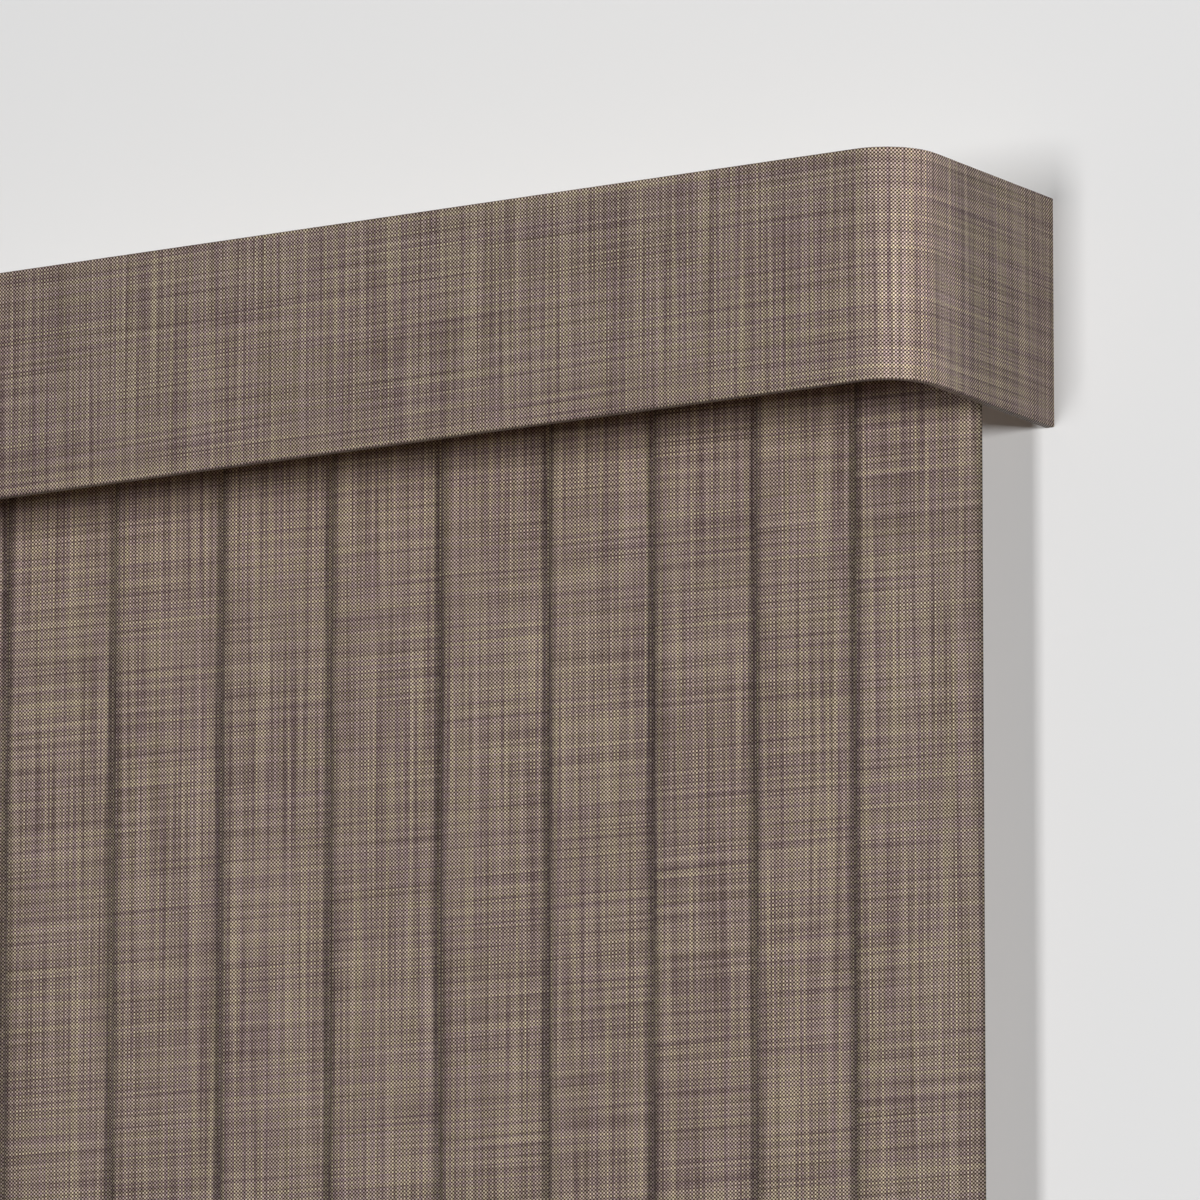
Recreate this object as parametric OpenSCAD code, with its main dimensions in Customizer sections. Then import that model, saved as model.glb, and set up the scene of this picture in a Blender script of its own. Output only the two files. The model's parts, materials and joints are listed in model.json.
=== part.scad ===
// Vertical blind with a fabric-covered valance. Fabric vanes hang from glide carriers in an extruded
// headrail. A wand at the left end turns a fluted rod through a pair of bevel gears, the rod turns a
// worm in every carrier, and the worm tilts the vane's stem. Drawn by the wand, the carriers travel
// along the headrail and stack at the fixed right end.
// X runs along the wall to the right, Y into the wall, Z up. The origin is the middle of the wall
// screw pattern, on the wall.

/* [Vanes] */
// Width of one vane
vane_w = 89; // [60:1:127]
// Length of one vane
vane_len = 1136; // [400:1:2500]
// Thickness of the vane cloth
vane_t = 0.7; // [0.4:0.1:1]
// How far the middle of a vane bows towards the room
vane_crown = 1.5; // [0.2:0.1:3]
// Tilt of the closed vanes, with their left edges towards the room
closed_angle = 8; // [7:1:90]
// Overlap of two neighbouring vanes when they are drawn apart
vane_overlap = 3.5; // [2:0.5:20]
// How much closer the two vanes at the fixed end hang
end_slack = 10.7; // [0:0.1:20]
// Slack taken up from one gap to the next
slack_step = 2.8; // [0.5:0.1:10]
// Width of the punched hanging slot
slot_hole_w = 12; // [8:0.5:18]
// Height of the punched hanging slot
slot_hole_h = 3.2; // [2.6:0.1:5]
// Cloth between the top of a vane and its hanging slot
slot_hole_drop = 7; // [4:0.5:12]

/* [Valance] */
// Height of the valance
valance_h = 152; // [110:1:250]
// Projection of the valance from the wall
valance_depth = 185; // [160:1:260]
// Outer radius of the front corners
corner_r = 38; // [12:1:60]
// Thickness of the valance board
board_t = 5; // [3:0.5:9]
// Thickness of the fabric cover
cover_t = 0.8; // [0.4:0.1:1.5]
// Thickness of the glue between board and cover
glue_t = 0.1; // [0.05:0.05:0.3]
// Height of the cover's turned-in hems
hem_h = 15; // [8:1:18]
// Height of the valance top above the headrail
valance_rise = 21; // [20:1:40]
// Room between the first vane's edge and the outer face of the right return
side_room = 18; // [12:0.5:40]
// Room between the outer faces of the returns and the ends of the headrail
rail_inset = 20; // [16:1:40]

/* [Headrail] */
// Depth of the headrail
rail_w = 42; // [40:0.5:52]
// Height of the headrail
rail_h = 30; // [28:0.5:40]
// Wall of the headrail
rail_t = 1.5; // [1:0.1:2.2]
// Width of the slot below
rail_slot = 26; // [25:0.5:28]
// Side lips that the clips grip
rail_lip = 1.5; // [1:0.1:3]
// Distance from the wall to the back of the headrail
rail_from_wall = 46.5; // [30:0.5:80]
// Thickness of an end cap's plate
cap_t = 3; // [2:0.5:6]
// Depth of an end cap's plug in the headrail
plug_l = 8; // [5:0.5:14]
// How far an end cap stands out round the headrail
cap_margin = 2; // [1:0.5:4]

/* [Brackets and clips] */
// Distance between the two wall brackets
bracket_spacing = 600; // [300:1:640]
// Height of a bracket's wall plate
plate_h = 50; // [44:1:80]
// Width of a bracket
bracket_w = 30; // [20:1:50]
// Thickness of bracket steel
bracket_t = 2; // [1.5:0.1:3]
// Distance between the two wall screws of a bracket
screw_spacing = 30; // [20:1:34]
// Diameter of the wall screw holes
screw_hole_d = 5; // [3.5:0.1:6]
// Thickness of rail clip and valance clip steel
clip_t = 1.2; // [0.8:0.1:2]
// Space between the headrail and a rail clip's top, for the screw end
clip_rise = 3; // [2.5:0.1:6]
// Length of a rail clip along the headrail
rail_clip_l = 22; // [14:1:30]
// Diameter of a clip screw
clip_screw_d = 4; // [3:0.5:5]
// Width of a valance clip
valance_clip_w = 20; // [12:1:30]
// Distance from a bracket to the valance clip beside it
valance_clip_offset = 50; // [30:1:70]
// Length of a valance clip's foot on the board
valance_clip_foot = 28; // [15:1:50]

/* [Carriers] */
// Length of a carrier along the headrail
carrier_l = 15.6; // [15:0.1:20]
// Wall of a carrier beside its gears
carrier_wall = 2; // [1.5:0.1:2.2]
// Plastic under the worm
worm_floor = 4; // [3:0.1:6]
// Thickness of the shoulders that glide in the headrail
shoulder_t = 3; // [2:0.1:3.5]
// How far a carrier's neck stands below the headrail
neck_drop = 2; // [1:0.1:6]
// Gap between two stacked carriers
stack_gap = 0.4; // [0.3:0.1:3]
// Thickness of a spacer strip
strip_t = 0.35; // [0.2:0.05:0.5]
// Width of a spacer strip
strip_w = 7; // [5:0.5:8]
// Length of a spacer strip beyond the next carrier's middle
strip_lap = 4.5; // [2:0.5:7]

/* [Tilt drive] */
// Module of worm, pinion and bevel gears
gear_module = 1; // [0.9:0.05:1.05]
// Teeth on a vane stem's pinion
pinion_teeth = 9; // [8:1:9]
// Face width of the pinion
pinion_b = 6; // [4:0.5:7]
// Pitch radius of the worm
worm_r = 5; // [4.8:0.1:5.2]
// Play at the pitch line, on each part
backlash = 0.3; // [0.2:0.05:0.4]
// Outer radius of the fluted rod
rod_r = 2.5; // [2.2:0.1:2.6]
// Depth of the rod's flutes
flute_depth = 0.5; // [0.3:0.05:0.7]
// Radius of the worm's journals
journal_r = 3.4; // [3.3:0.05:3.5]
// Radius of the stem's journal
stem_r = 3; // [2.6:0.1:3.1]
// Teeth on each bevel gear
bevel_teeth = 12; // [12:1:13]
// Face width of the bevel gears
bevel_b = 2.5; // [2:0.1:2.6]

/* [Stem hook] */
// Width of the hook's legs
leg_w = 5; // [3.5:0.1:5]
// Thickness of each leg
leg_t = 0.8; // [0.6:0.05:0.9]
// Height of the peg that the vane hangs on
peg_h = 2; // [1.5:0.1:2.4]
// Length of the legs below the peg
leg_tip = 3; // [1:0.5:6]

/* [Wand] */
// Length of the wand below its clevis
wand_len = 600; // [300:1:1200]
// Radius of the wand rod
wand_r = 4.5; // [3.5:0.1:5]
// Room between the wand axis and the lead vane's sweep
wand_room = 11.5; // [11:0.5:30]
// Length of the grip
grip_len = 110; // [60:1:160]
// Largest radius of the grip
grip_r = 7; // [6.5:0.1:8]
// Radius of the link pin
pin_r = 1.2; // [1:0.05:1.4]
// Thickness of the wand stub's eye
eye_t = 3; // [2.4:0.1:4]
// Outer radius of the eye and of the clevis cheeks
eye_r = 4; // [3.2:0.1:4.2]
// Radius of the wand stub's journal
stub_r = 2; // [1.6:0.1:2.1]
// Length of the wand carriage
carriage_l = 24; // [23:0.5:36]

/* [Clearances] */
// Gap between sliding faces
run_gap = 0.3; // [0.2:0.05:0.4]
// Radial clearance of turning journals
turn_gap = 0.2; // [0.1:0.05:0.25]
// Clearance of fits that stay put
fit_gap = 0.1; // [0.05:0.05:0.2]

/* [Hidden] */
$fn = 48;
vane_n = 10;
vane_segments = 12;
eps = 0.01;

// Names
function two_digits(k) = str(k < 9 ? "0" : "", k + 1);
function vane_name(k) = str("vane_", two_digits(k));
function stem_name(k) = str("stem_", two_digits(k));
function carrier_name(k) = str("carrier_", two_digits(k));
function worm_name(k) = str("worm_", two_digits(k));
vane_ids = [for (k = [0 : vane_n - 1]) k];

// Places along the headrail, vane 0 at the fixed right end
vane_pitch = vane_w - vane_overlap;
function gap(k) = vane_pitch - max(0, end_slack - slack_step * k);
function sum_gaps(k) = k == 0 ? 0 : sum_gaps(k - 1) + gap(k - 1);
stack_pitch = carrier_l + stack_gap;
wand_offset = vane_w / 2 + wand_room;
carriage_room = 4;
right_room = vane_w / 2 + side_room;
left_room = wand_offset + carriage_l / 2 + carriage_room + plug_l + rail_inset;
valance_w = right_room + sum_gaps(vane_n - 1) + left_room;
function vane_x(k) = valance_w / 2 - right_room - sum_gaps(k);
wand_x = vane_x(vane_n - 1) - wand_offset;
rail_l = valance_w - 2 * rail_inset;

// Heights and depths
rail_y = -(rail_from_wall + rail_w / 2);
arm_z = plate_h / 2 - bracket_t;
rail_top = arm_z - clip_t - clip_rise;
gusset_room = 4;
rail_z = rail_top - rail_h;
valance_top = rail_top + valance_rise;
board_back = cover_t + glue_t + board_t;

// Drive geometry, measured from the stem's axis and the underside of the headrail
pinion_r = gear_module * pinion_teeth / 2;
gear_offset = worm_r + pinion_r;
lead = PI * gear_module;
worm_add = 0.75 * gear_module;
worm_ded = 1.05 * gear_module;
pinion_add = 0.8 * gear_module;
pinion_ded = 1.1 * gear_module;
pressure_angle = 20;
worm_tip = worm_r + worm_add;
pinion_tip = pinion_r + pinion_add;
thread_w = lead / 2 - backlash;
rod_end_r = rod_r - flute_depth;
run_z = rail_t + run_gap;
channel_r = worm_tip + 1.5 * run_gap;
rod_z = run_z + worm_floor + channel_r;
floor_z = rod_z - pinion_b / 2 - run_gap;
channel_l = carrier_l - 2 * carrier_wall;
thread_l = channel_l - 2 * run_gap;
pocket_r = pinion_tip + 1.5 * run_gap;
inner_w = rail_w - 2 * rail_t;
shoulder_gap = 2;
shoulder_w = inner_w - 2 * shoulder_gap;
block_front = -gear_offset - channel_r - carrier_wall;
block_back = pocket_r + carrier_wall;
neck_gap = 0.5;
neck_w = rail_slot - 2 * neck_gap;

// Spacer strips rise to the left, so that stacked ones lie one over the other
strip_gap = 0.35;
strip_slope = (strip_t + strip_gap) / stack_pitch;
strip_l = vane_pitch + strip_lap;
post_w = 4;
post_d = 5;
post_y = (block_back + shoulder_w / 2) / 2;
strip_z = rail_h - rail_t - 2.5 * run_gap - strip_t - strip_l * strip_slope;
bar_t = 2.5;
bar_margin = 2;

// Wand stub and its eye
stub_show = 1;
stub_z = -neck_drop - stub_show;
eye_drop = eye_r + 2;
eye_z = stub_z - eye_drop;
bevel_r = gear_module * bevel_teeth / 2;
bevel_add = 0.9 * gear_module;
bevel_ded = 1.1 * gear_module;
bevel_hub_r = bevel_r - 1.8 * gear_module;
drive_hub_l = 5;
wand_hub_h = rod_z - bevel_r - run_z - shoulder_t - run_gap;
collar_w = 0.5;
clevis_gap = 0.4;
cheek_t = 2.3;
clevis_h = 8;

// Stem hook, from the foot of the journal down
foot_show = 3;
foot_z = -neck_drop - foot_show;
vane_top = foot_z - 1;
leg_gap = vane_t + 2 * turn_gap;
peg_z = vane_top - slot_hole_drop;

// Colours
cloth = [0.48, 0.42, 0.38];
moulding = [0.93, 0.93, 0.91];
alloy = [0.8, 0.81, 0.82];
steel = [0.66, 0.67, 0.69];
acetal = [0.85, 0.86, 0.84];
clear_plastic = [0.82, 0.86, 0.88];

// Moves children to the stem axis at x and the underside of the headrail
module at_rail(x) {
    translate([x, rail_y, rail_z]) children();
}

// Moves children to the rod's axis, with their Z along the rod
module along_rod() {
    translate([0, -gear_offset, rod_z]) rotate([0, 90, 0]) children();
}

// Centred along X, from y0 to y1 and z0 to z1
module slab(length, y0, y1, z0, z1) {
    translate([-length / 2, y0, z0]) cube([length, y1 - y0, z1 - z0]);
}

// Valance seen from above, set in from its outer face
module valance_plan(inset) {
    r = max(corner_r - inset, 1);
    w = valance_w - 2 * inset;
    front = -valance_depth + inset;
    translate([-w / 2, front + r]) square([w, -front - r]);
    translate([-w / 2 + r, front]) square([w - 2 * r, -front]);
    for (side = [-1, 1]) translate([side * (w / 2 - r), front + r]) circle(r);
}

// Wall that follows the valance from one inset to another, between two heights
module valance_wall(inset, depth, z0, z1) {
    translate([0, 0, z0]) linear_extrude(z1 - z0) difference() {
        valance_plan(inset);
        valance_plan(inset + depth);
        translate([-valance_w / 2 + inset + depth, -valance_depth / 2])
            square([valance_w - 2 * (inset + depth), valance_depth]);
    }
}

module valance_board() {
    edge = cover_t + glue_t;
    color("burlywood") valance_wall(edge, board_t, valance_top - valance_h + edge, valance_top - edge);
}

module valance_cover() {
    low = valance_top - valance_h;
    whole = board_back + glue_t + cover_t;
    color(cloth) {
        valance_wall(0, cover_t, low, valance_top);
        for (z = [low, valance_top - cover_t]) valance_wall(0, whole, z, z + cover_t);
        for (z = [low, valance_top - hem_h]) valance_wall(board_back + glue_t, cover_t, z, z + hem_h);
    }
}

valance_clip_xs = [-bracket_spacing / 2 - valance_clip_offset, 0, bracket_spacing / 2 + valance_clip_offset];

// A strap over the headrail that hooks under its front lip and ends in a foot on the board
module valance_clip_profile() {
    lip_front = rail_y - rail_w / 2 - rail_lip;
    board_face = -valance_depth + board_back;
    translate([board_face, rail_top]) square([rail_y - board_face, clip_t]);
    translate([board_face, rail_top - valance_clip_foot]) square([clip_t, valance_clip_foot + eps]);
    translate([lip_front - fit_gap - clip_t, rail_top - rail_lip - fit_gap - clip_t])
        square([clip_t, rail_lip + fit_gap + clip_t + eps]);
    translate([lip_front - fit_gap - clip_t, rail_top - rail_lip - fit_gap - clip_t])
        square([clip_t + rail_lip, clip_t]);
}

module valance_clips() {
    color(steel) for (x = valance_clip_xs)
        translate([x - valance_clip_w / 2, 0, 0]) rotate([90, 0, 90])
            linear_extrude(valance_clip_w) valance_clip_profile();
}

// Section of the headrail, Y across and Z up from its underside
module headrail_profile() {
    difference() {
        union() {
            translate([-rail_w / 2, 0]) square([rail_w, rail_h]);
            translate([-rail_w / 2 - rail_lip, rail_h - rail_lip]) square([rail_w + 2 * rail_lip, rail_lip]);
        }
        translate([-inner_w / 2, rail_t]) square([inner_w, rail_h - 2 * rail_t]);
        translate([-rail_slot / 2, -1]) square([rail_slot, rail_t + 2]);
    }
}

module headrail() {
    color(alloy) at_rail(-rail_l / 2) rotate([90, 0, 90]) linear_extrude(rail_l) headrail_profile();
}

// Plate with round corners on the end of the headrail
module cap_plate() {
    r = 3;
    w = rail_w + 2 * (rail_lip + cap_margin);
    h = rail_h + 2 * cap_margin;
    translate([-w / 2 + r, -cap_margin]) square([w - 2 * r, h]);
    translate([-w / 2, -cap_margin + r]) square([w, h - 2 * r]);
    for (y = [-w / 2 + r, w / 2 - r], z = [r - cap_margin, h - cap_margin - r]) translate([y, z]) circle(r);
}

// End cap for the end at x, with its plug towards the middle along dir
module end_cap(x, dir) {
    plug_w = inner_w - 2 * fit_gap;
    plug_low = rail_t + fit_gap;
    plug_top = rail_h - rail_t - fit_gap;
    pocket_low = run_z + shoulder_t + bar_t;
    at_rail(x) mirror([dir < 0 ? 1 : 0, 0, 0]) difference() {
        union() {
            translate([-cap_t, 0, 0]) rotate([90, 0, 90]) linear_extrude(cap_t) cap_plate();
            translate([-eps, -plug_w / 2, plug_low]) cube([plug_l + eps, plug_w, plug_top - plug_low]);
        }
        along_rod() cylinder(r = rod_end_r + turn_gap, h = plug_l + 1);
        // Pocket that lightens the plug
        translate([0, block_back, pocket_low])
            cube([plug_l + 1, shoulder_w / 2 - block_back, plug_top - bar_t - pocket_low]);
    }
}

module left_end_cap() {
    color(moulding) end_cap(-rail_l / 2, 1);
}

// The right cap's tongue reaches to the first carrier's post and holds that carrier in place
module right_end_cap() {
    color(moulding) {
        end_cap(rail_l / 2, -1);
        at_rail(vane_x(0)) link_bar(rail_l / 2 - plug_l - vane_x(0) + eps);
    }
}

// Flat bar on the shoulders, from a hole round the post of the carrier at 0 to x = reach
module link_bar(reach) {
    bar_z = run_z + shoulder_t;
    hook = post_w / 2 + fit_gap + bar_margin;
    dir = sign(reach);
    difference() {
        translate([min(reach, -hook * dir), post_y - post_d / 2 - bar_margin, bar_z])
            cube([abs(reach) + hook, post_d + 2 * bar_margin, bar_t]);
        slab(post_w + 2 * fit_gap, post_y - post_d / 2 - fit_gap, post_y + post_d / 2 + fit_gap,
            bar_z - 1, bar_z + bar_t + 1);
    }
}

// Wall plate, arm over the headrail and two side gussets, folded from one sheet
module bracket(x) {
    arm_l = rail_from_wall + rail_w;
    gusset = rail_from_wall - rail_lip - fit_gap - clip_t - gusset_room;
    gusset_tip = 4;
    translate([x - bracket_w / 2, 0, 0]) difference() {
        union() {
            translate([0, -bracket_t, -plate_h / 2]) cube([bracket_w, bracket_t, plate_h]);
            translate([0, -arm_l, arm_z]) cube([bracket_w, arm_l, bracket_t]);
            for (side = [0, bracket_w - bracket_t]) translate([side, 0, 0]) rotate([90, 0, 90])
                linear_extrude(bracket_t) polygon([
                    [0, arm_z + eps], [-gusset, arm_z + eps],
                    [-gusset, arm_z - gusset_tip], [0, -plate_h / 2]]);
        }
        for (z = [-screw_spacing / 2, screw_spacing / 2])
            translate([bracket_w / 2, 1, z]) rotate([90, 0, 0]) cylinder(d = screw_hole_d, h = bracket_t + 2);
        translate([bracket_w / 2, rail_y, arm_z - 1])
            cylinder(d = clip_screw_d + 2 * fit_gap, h = bracket_t + 2);
    }
}

module left_bracket() {
    color(steel) bracket(-bracket_spacing / 2);
}

module right_bracket() {
    color(steel) bracket(bracket_spacing / 2);
}

// Spring clip under a bracket's arm that grips both lips of the headrail
module rail_clip_profile() {
    half = rail_w / 2 + rail_lip + fit_gap;
    jaw_z = -rail_lip - fit_gap - clip_t;
    translate([-half - clip_t, clip_rise]) square([2 * (half + clip_t), clip_t]);
    for (side = [0, 1]) mirror([side, 0]) {
        translate([half, jaw_z]) square([clip_t, clip_rise + clip_t - jaw_z]);
        translate([half - rail_lip, jaw_z]) square([rail_lip + clip_t, clip_t]);
    }
}

module rail_clips() {
    color(steel) for (side = [-1, 1]) translate([side * bracket_spacing / 2, rail_y, rail_top]) difference() {
        translate([-rail_clip_l / 2, 0, 0]) rotate([90, 0, 90])
            linear_extrude(rail_clip_l) rail_clip_profile();
        cylinder(d = clip_screw_d + 2 * fit_gap, h = clip_rise + clip_t + 1);
    }
}

// Pan-head screws through the arms into the rail clips, with a cross recess
module clip_screws() {
    head_r = clip_screw_d;
    head_h = 0.6 * clip_screw_d;
    reach = bracket_t + clip_t + clip_rise - 0.5;
    recess_l = 1.1 * clip_screw_d;
    recess_w = 0.2 * clip_screw_d;
    color(steel) for (side = [-1, 1])
        translate([side * bracket_spacing / 2, rail_y, arm_z + bracket_t]) difference() {
            union() {
                translate([0, 0, -reach]) cylinder(d = clip_screw_d, h = reach + eps);
                cylinder(r = head_r, h = head_h);
            }
            for (turn = [0, 90]) rotate(turn)
                translate([-recess_l / 2, -recess_w / 2, head_h / 2]) cube([recess_l, recess_w, head_h]);
        }
}

// Six-fluted section of the tilt rod, grown by a clearance for the bores that ride on it
module rod_profile(grow = 0) {
    land = 14;
    flute = 20;
    corners = [[-land, 0], [land, 0], [flute, flute_depth], [60 - flute, flute_depth]];
    polygon([for (i = [0 : 5], corner = corners)
        (rod_r + grow - corner[1]) * [cos(60 * i + corner[0]), sin(60 * i + corner[0])]]);
}

module tilt_rod() {
    end_play = 0.5;
    fluted_l = rail_l - 2 * (plug_l + end_play);
    color(alloy) at_rail(0) along_rod() {
        translate([0, 0, -fluted_l / 2]) linear_extrude(fluted_l) rod_profile();
        for (end = [0, 1]) mirror([0, 0, end])
            translate([0, 0, fluted_l / 2 - eps]) cylinder(r = rod_end_r, h = plug_l - end_play);
    }
}

// Involute of a circle of radius base, at the radius r: the angle that it has turned through
function involute_angle(base, r) =
    let (roll = sqrt(max(0, (r / base) ^ 2 - 1))) roll * 180 / PI - atan(roll);

// Outline of a gear with involute flanks, a tooth centred on the X axis
function gear_points(teeth, radius, add, ded, play) =
    let (base = radius * cos(pressure_angle),
         low = max(radius - ded, base),
         tip = radius + add,
         half = 90 / teeth - play / 2 / radius * 180 / PI,
         flank = [for (i = [0 : 3]) let (r = low + (tip - low) * i / 3)
             [r, half + involute_angle(base, radius) - involute_angle(base, r)]],
         root_half = flank[0][1] * 0.86)
    [for (t = [0 : teeth - 1]) let (mid = 360 * t / teeth)
        each concat(
            [[radius - ded, mid - root_half]],
            [for (i = [0 : 3]) [flank[i][0], mid - flank[i][1]]],
            [for (i = [3 : -1 : 0]) [flank[i][0], mid + flank[i][1]]],
            [[radius - ded, mid + root_half]])];

function polar(points) = [for (p = points) p[0] * [cos(p[1]), sin(p[1])]];

// Section across a single-start worm, crest on the X axis, from the thread's straight-sided profile
function worm_points() =
    let (slope = tan(pressure_angle),
         crest = (thread_w / 2 - slope * worm_add) / lead * 360,
         foot = (thread_w / 2 + slope * worm_ded) / lead * 360,
         root = worm_r - worm_ded,
         side = [[worm_tip, crest], [(worm_tip + root) / 2, (crest + foot) / 2], [root, foot],
                 [root, (foot + 180) / 2]],
         other_side = [for (i = [len(side) - 1 : -1 : 0]) [side[i][0], 360 - side[i][1]]])
    concat([[worm_tip, 0]], side, [[root, 180]], other_side);

// Right-hand worm with a crest towards the stem, round journals and a fluted bore
module worm() {
    turns = thread_l / lead;
    slice_n = ceil(8 * turns);
    journal_l = carrier_l - 2 * run_gap;
    along_rod() difference() {
        union() {
            translate([0, 0, -thread_l / 2]) rotate(90 - 180 * turns)
                linear_extrude(thread_l, twist = -360 * turns, slices = slice_n, segments = 1)
                    polygon(polar(worm_points()));
            translate([0, 0, -journal_l / 2]) cylinder(r = journal_r, h = journal_l);
        }
        translate([0, 0, -carrier_l]) linear_extrude(2 * carrier_l) rod_profile(turn_gap);
    }
}

// Open-topped cradle for worm and stem, with shoulders on the headrail's flanges and a spacer post
module carrier_body() {
    high = 2 * rail_h;
    block_top = rod_z + worm_tip + run_gap;
    notch_r = journal_r + turn_gap;
    difference() {
        union() {
            slab(carrier_l, -shoulder_w / 2, shoulder_w / 2, run_z, run_z + shoulder_t);
            slab(carrier_l, -neck_w / 2, neck_w / 2, -neck_drop, run_z + eps);
            slab(carrier_l, block_front, block_back, run_z, block_top);
            slab(post_w, post_y - post_d / 2, post_y + post_d / 2, run_z, strip_z + post_w * strip_slope);
        }
        translate([-channel_l / 2, 0, 0]) along_rod() cylinder(r = channel_r, h = channel_l);
        slab(channel_l, -gear_offset - channel_r, -gear_offset + channel_r, rod_z, high);
        translate([-carrier_l, 0, 0]) along_rod() cylinder(r = notch_r, h = 2 * carrier_l);
        slab(2 * carrier_l, -gear_offset - notch_r, -gear_offset + notch_r, rod_z, high);
        translate([0, 0, floor_z]) cylinder(r = pocket_r, h = high);
        translate([0, 0, -high]) cylinder(r = stem_r + turn_gap, h = 2 * high);
        // Lightening pocket in the moulding behind the stem
        translate([0, 0, -neck_drop - 1]) slab(channel_l, stem_r + turn_gap + carrier_wall,
            neck_w / 2 - carrier_wall, 0, floor_z - carrier_wall);
    }
}

// Strip from the post to beyond the next carrier on the left
module spacer_strip() {
    start = post_w / 2;
    rise = strip_slope * (strip_l + start);
    low = strip_z - start * strip_slope;
    translate([0, post_y + strip_w / 2, 0]) rotate([90, 0, 0]) linear_extrude(strip_w)
        polygon([
            [start, low], [start, low + strip_t], [-strip_l, low + rise + strip_t], [-strip_l, low + rise]]);
}

module carrier(k) {
    color(moulding) at_rail(vane_x(k)) {
        carrier_body();
        if (k < vane_n - 1) spacer_strip();
    }
}

// Pinion with a gap towards the worm, journal, and the forked hook turned with the closed vane
module stem() {
    gap_turn = -90 - 180 / pinion_teeth;
    translate([0, 0, rod_z - pinion_b / 2]) rotate(gap_turn) linear_extrude(pinion_b)
        polygon(polar(gear_points(pinion_teeth, pinion_r, pinion_add, pinion_ded, backlash)));
    translate([0, 0, foot_z]) cylinder(r = stem_r, h = rod_z - pinion_b / 2 - foot_z + eps);
    rotate(closed_angle) {
        leg_end = peg_z - peg_h - leg_tip;
        for (side = [-1, 1])
            translate([-leg_w / 2, side * (leg_gap + leg_t) / 2 - leg_t / 2, leg_end])
                cube([leg_w, leg_t, foot_z - leg_end + eps]);
        slab(leg_w, -leg_gap / 2 - eps, leg_gap / 2 + eps, peg_z - peg_h, peg_z);
    }
}

// Bowed section of a vane, its middle on the stem's axis and its edges towards the wall
function bow(u) = vane_crown * (2 * u / vane_w) ^ 2;

module vane_profile() {
    us = [for (i = [0 : vane_segments]) vane_w * (i / vane_segments - 0.5)];
    polygon(concat(
        [for (u = us) [u, bow(u) - vane_t / 2]],
        [for (i = [vane_segments : -1 : 0]) [us[i], bow(us[i]) + vane_t / 2]]));
}

module vane() {
    rotate(closed_angle) difference() {
        translate([0, 0, vane_top - vane_len]) linear_extrude(vane_len) vane_profile();
        slab(slot_hole_w, -vane_t, vane_t, peg_z - slot_hole_h, peg_z);
    }
}

// Bevel gear on the Z axis, back face at 0, teeth narrowing towards the apex at bevel_r
module bevel_teeth_ring() {
    linear_extrude(bevel_b, scale = 1 - bevel_b / bevel_r)
        polygon(polar(gear_points(bevel_teeth, bevel_r, bevel_add, bevel_ded, backlash)));
}

module drive_bevel() {
    color(acetal) at_rail(wand_x) along_rod() difference() {
        union() {
            translate([0, 0, -bevel_r]) bevel_teeth_ring();
            translate([0, 0, -bevel_r - drive_hub_l]) cylinder(r = bevel_hub_r, h = drive_hub_l + eps);
            translate([0, 0, -bevel_r - bevel_add]) cylinder(r = bevel_hub_r + collar_w, h = bevel_add + eps);
        }
        translate([0, 0, -rail_w]) linear_extrude(2 * rail_w) rod_profile(turn_gap);
    }
}

module wand_bevel() {
    color(acetal) at_rail(wand_x) translate([0, -gear_offset, 0]) {
        translate([0, 0, rod_z - bevel_r]) rotate(180 / bevel_teeth) bevel_teeth_ring();
        translate([0, 0, rod_z - bevel_r - wand_hub_h]) cylinder(r = bevel_hub_r, h = wand_hub_h + eps);
        translate([0, 0, stub_z]) cylinder(r = stub_r, h = rod_z - bevel_r - stub_z);
        difference() {
            union() {
                translate([-eye_t / 2, 0, eye_z]) rotate([0, 90, 0]) cylinder(r = eye_r, h = eye_t);
                slab(eye_t, -eye_r, eye_r, eye_z, stub_z + eps);
            }
            translate([-eye_t, 0, eye_z]) rotate([0, 90, 0]) cylinder(r = pin_r + turn_gap, h = 2 * eye_t);
        }
    }
}

// Block that carries both bevels, linked by a bar to the lead carrier's post
module wand_carriage() {
    cheek_x = -bevel_r - bevel_add - run_gap;
    cheek = 2.6;
    cheek_back = -gear_offset + bevel_hub_r + turn_gap + carrier_wall;
    color(moulding) at_rail(wand_x) {
        difference() {
            union() {
                slab(carriage_l, -shoulder_w / 2, shoulder_w / 2, run_z, run_z + shoulder_t);
                slab(carriage_l, -neck_w / 2, neck_w / 2, -neck_drop, run_z + eps);
                translate([cheek_x - cheek, block_front, run_z])
                    cube([cheek, cheek_back - block_front, rod_z + bevel_hub_r - run_z]);
            }
            translate([-rail_w, 0, 0]) along_rod() cylinder(r = bevel_hub_r + turn_gap, h = 2 * rail_w);
            slab(2 * carriage_l, -gear_offset - bevel_hub_r - turn_gap,
                -gear_offset + bevel_hub_r + turn_gap, rod_z, 2 * rail_h);
            translate([0, -gear_offset, -rail_h]) cylinder(r = stub_r + turn_gap, h = 2 * rail_h);
        }
        translate([wand_offset, 0, 0]) link_bar(-wand_offset);
    }
}

module link_pin() {
    pin_l = eye_t + 2 * clevis_gap + 2 * cheek_t;
    color(steel) at_rail(wand_x) translate([-pin_l / 2, -gear_offset, eye_z]) rotate([0, 90, 0])
        cylinder(r = pin_r, h = pin_l);
}

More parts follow.
